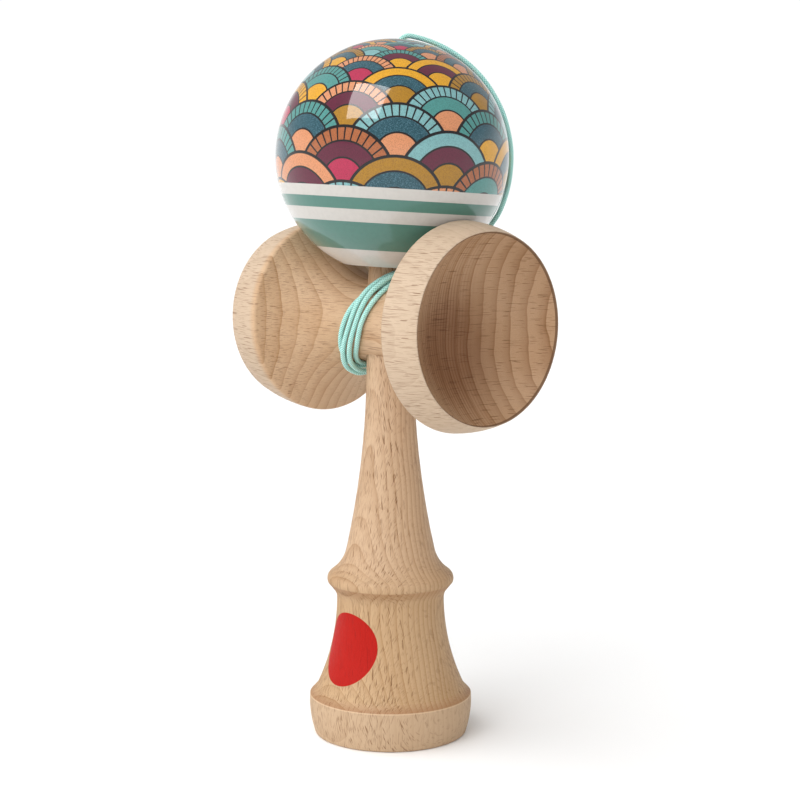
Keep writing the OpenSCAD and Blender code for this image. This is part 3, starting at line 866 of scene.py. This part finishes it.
# The route on the ball, in degrees down from its top and aside, and then free behind the cross piece,
# in metres along it, degrees about it and metres out of its waist.
ball_route = [(9, 0), (14, -1), (21, -2), (29, -3), (38, -4), (47, -5), (56, -5), (65, -6), (74, -6),
              (83, -7), (92, -7), (100, -8), (108, -9), (115, -10)]
free_route = [(0.0146, 132, 0.0212), (0.0139, 137, 0.0173), (0.0131, 143.5, 0.0141),
              (0.0120, 152.5, 0.0114), (0.0104, 164, 0.0096), (0.0082, 176.5, 0.0084),
              (0.0053, 190, 0.0078), (0.0020, 203, 0.0073), (-0.0014, 215.5, 0.0067),
              (-0.0046, 227.5, 0.0062), (-0.0073, 240, 0.0053), (-0.0093, 254, 0.0044)]


def over_ball(down, aside):
    """A point of the string on the ball, in degrees down from its top and aside."""
    return in_ball(run_out * sine(down) * cosine(aside), run_out * sine(down) * sine(aside),
                   run_out * cosine(down))


run_points = ([in_ball(0, 0, top_z - cord_d)]
              + [in_ball(cord_bend * (1 - cosine(angle)), 0, top_z + cord_bend * sine(angle))
                 for angle in np.linspace(0, 90 + top_rise, top_points)]
              + [over_ball(down, aside) for down, aside in ball_route]
              + [about_waist(along, turn, waist_r + lift) for along, turn, lift in free_route]
              + [strand(wind_end) + cord_d * end_way, strand(wind_end)])
run_line = np.vstack((smooth_line(run_points, run_passes)[::-1], [in_ball(0, 0, bead_foot - knot_l / 3)]))
run, run_path, _, run_end = braided_tube("loose_string", run_line, wound_side, wound_length)
cord_finish.put_on(run)
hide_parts("string_run", "string_inner")
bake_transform(run)
run_end - wound_length


# Studio: a plain pale floor under two broad soft lights, from high on the left and from the front,
# a softbox that shows in the lacquer, and a surround that is white at the horizon and dimmer above.
floor_size = 12.0
floor_white = (0.94, 0.94, 0.937, 1)
softbox_size = (0.48, 0.56)
softbox_power = 6.0
softbox_away = 0.9
softbox_wide = Vector((0.956, 0.278, 0.090)).normalized()
softbox_way = Vector((0.132, -0.594, 0.794)).normalized()
horizon_white = (1.03, 1.03, 1.03, 1)
zenith_grey = (0.52, 0.52, 0.52, 1)
horizon_reach = (0.13, 0.30)

bpy.ops.object.select_all(action="DESELECT")
bpy.ops.mesh.primitive_plane_add(size=floor_size)
floor = bpy.context.object
floor.name = "floor"
floor_finish = Finish("floor_white", Base_Color=floor_white, Roughness=0.8, Specular_IOR_Level=0.1)
floor_finish.put_on(floor)


def broad_light(name, way, strength, spread):
    """A soft light from far away that shapes the wood and leaves no mark in the lacquer."""
    data = bpy.data.lights.new(name, "SUN")
    data.energy = strength
    data.angle = math.radians(spread)
    light = bpy.data.objects.new(name, data)
    light.rotation_euler = Vector(way).to_track_quat("Z", "Y").to_euler()
    light.visible_glossy = False
    bpy.context.scene.collection.objects.link(light)


broad_light("left_light", way=(-0.364, -0.600, 0.712), strength=2.1, spread=80)
broad_light("front_light", way=(0.398, -0.716, 0.574), strength=1.15, spread=50)

softbox_data = bpy.data.lights.new("softbox", "AREA")
softbox_data.shape = "RECTANGLE"
softbox_data.size, softbox_data.size_y = softbox_size
softbox_data.energy = softbox_power
softbox = bpy.data.objects.new("softbox", softbox_data)
softbox_high = softbox_way.cross(softbox_wide).normalized()
softbox.location = ball_centre + softbox_way * softbox_away
softbox.rotation_euler = Matrix((softbox_wide, softbox_high, softbox_way)).transposed().to_euler()
softbox.visible_diffuse = False
bpy.context.scene.collection.objects.link(softbox)

surround = bpy.data.worlds.new("surround")
surround.use_nodes = True
bpy.context.scene.world = surround
sky = Sheet(surround.node_tree)
sky_height = sky.split(sky.add("ShaderNodeTexCoord", {}, {}, output="Generated"))[2]
sky_colour = sky.mix(sky_height.rise(*horizon_reach), horizon_white, zenith_grey)
sky.feed(surround.node_tree.nodes["Background"].inputs["Color"], sky_colour)
bpy.context.scene.view_settings.view_transform = "Standard"
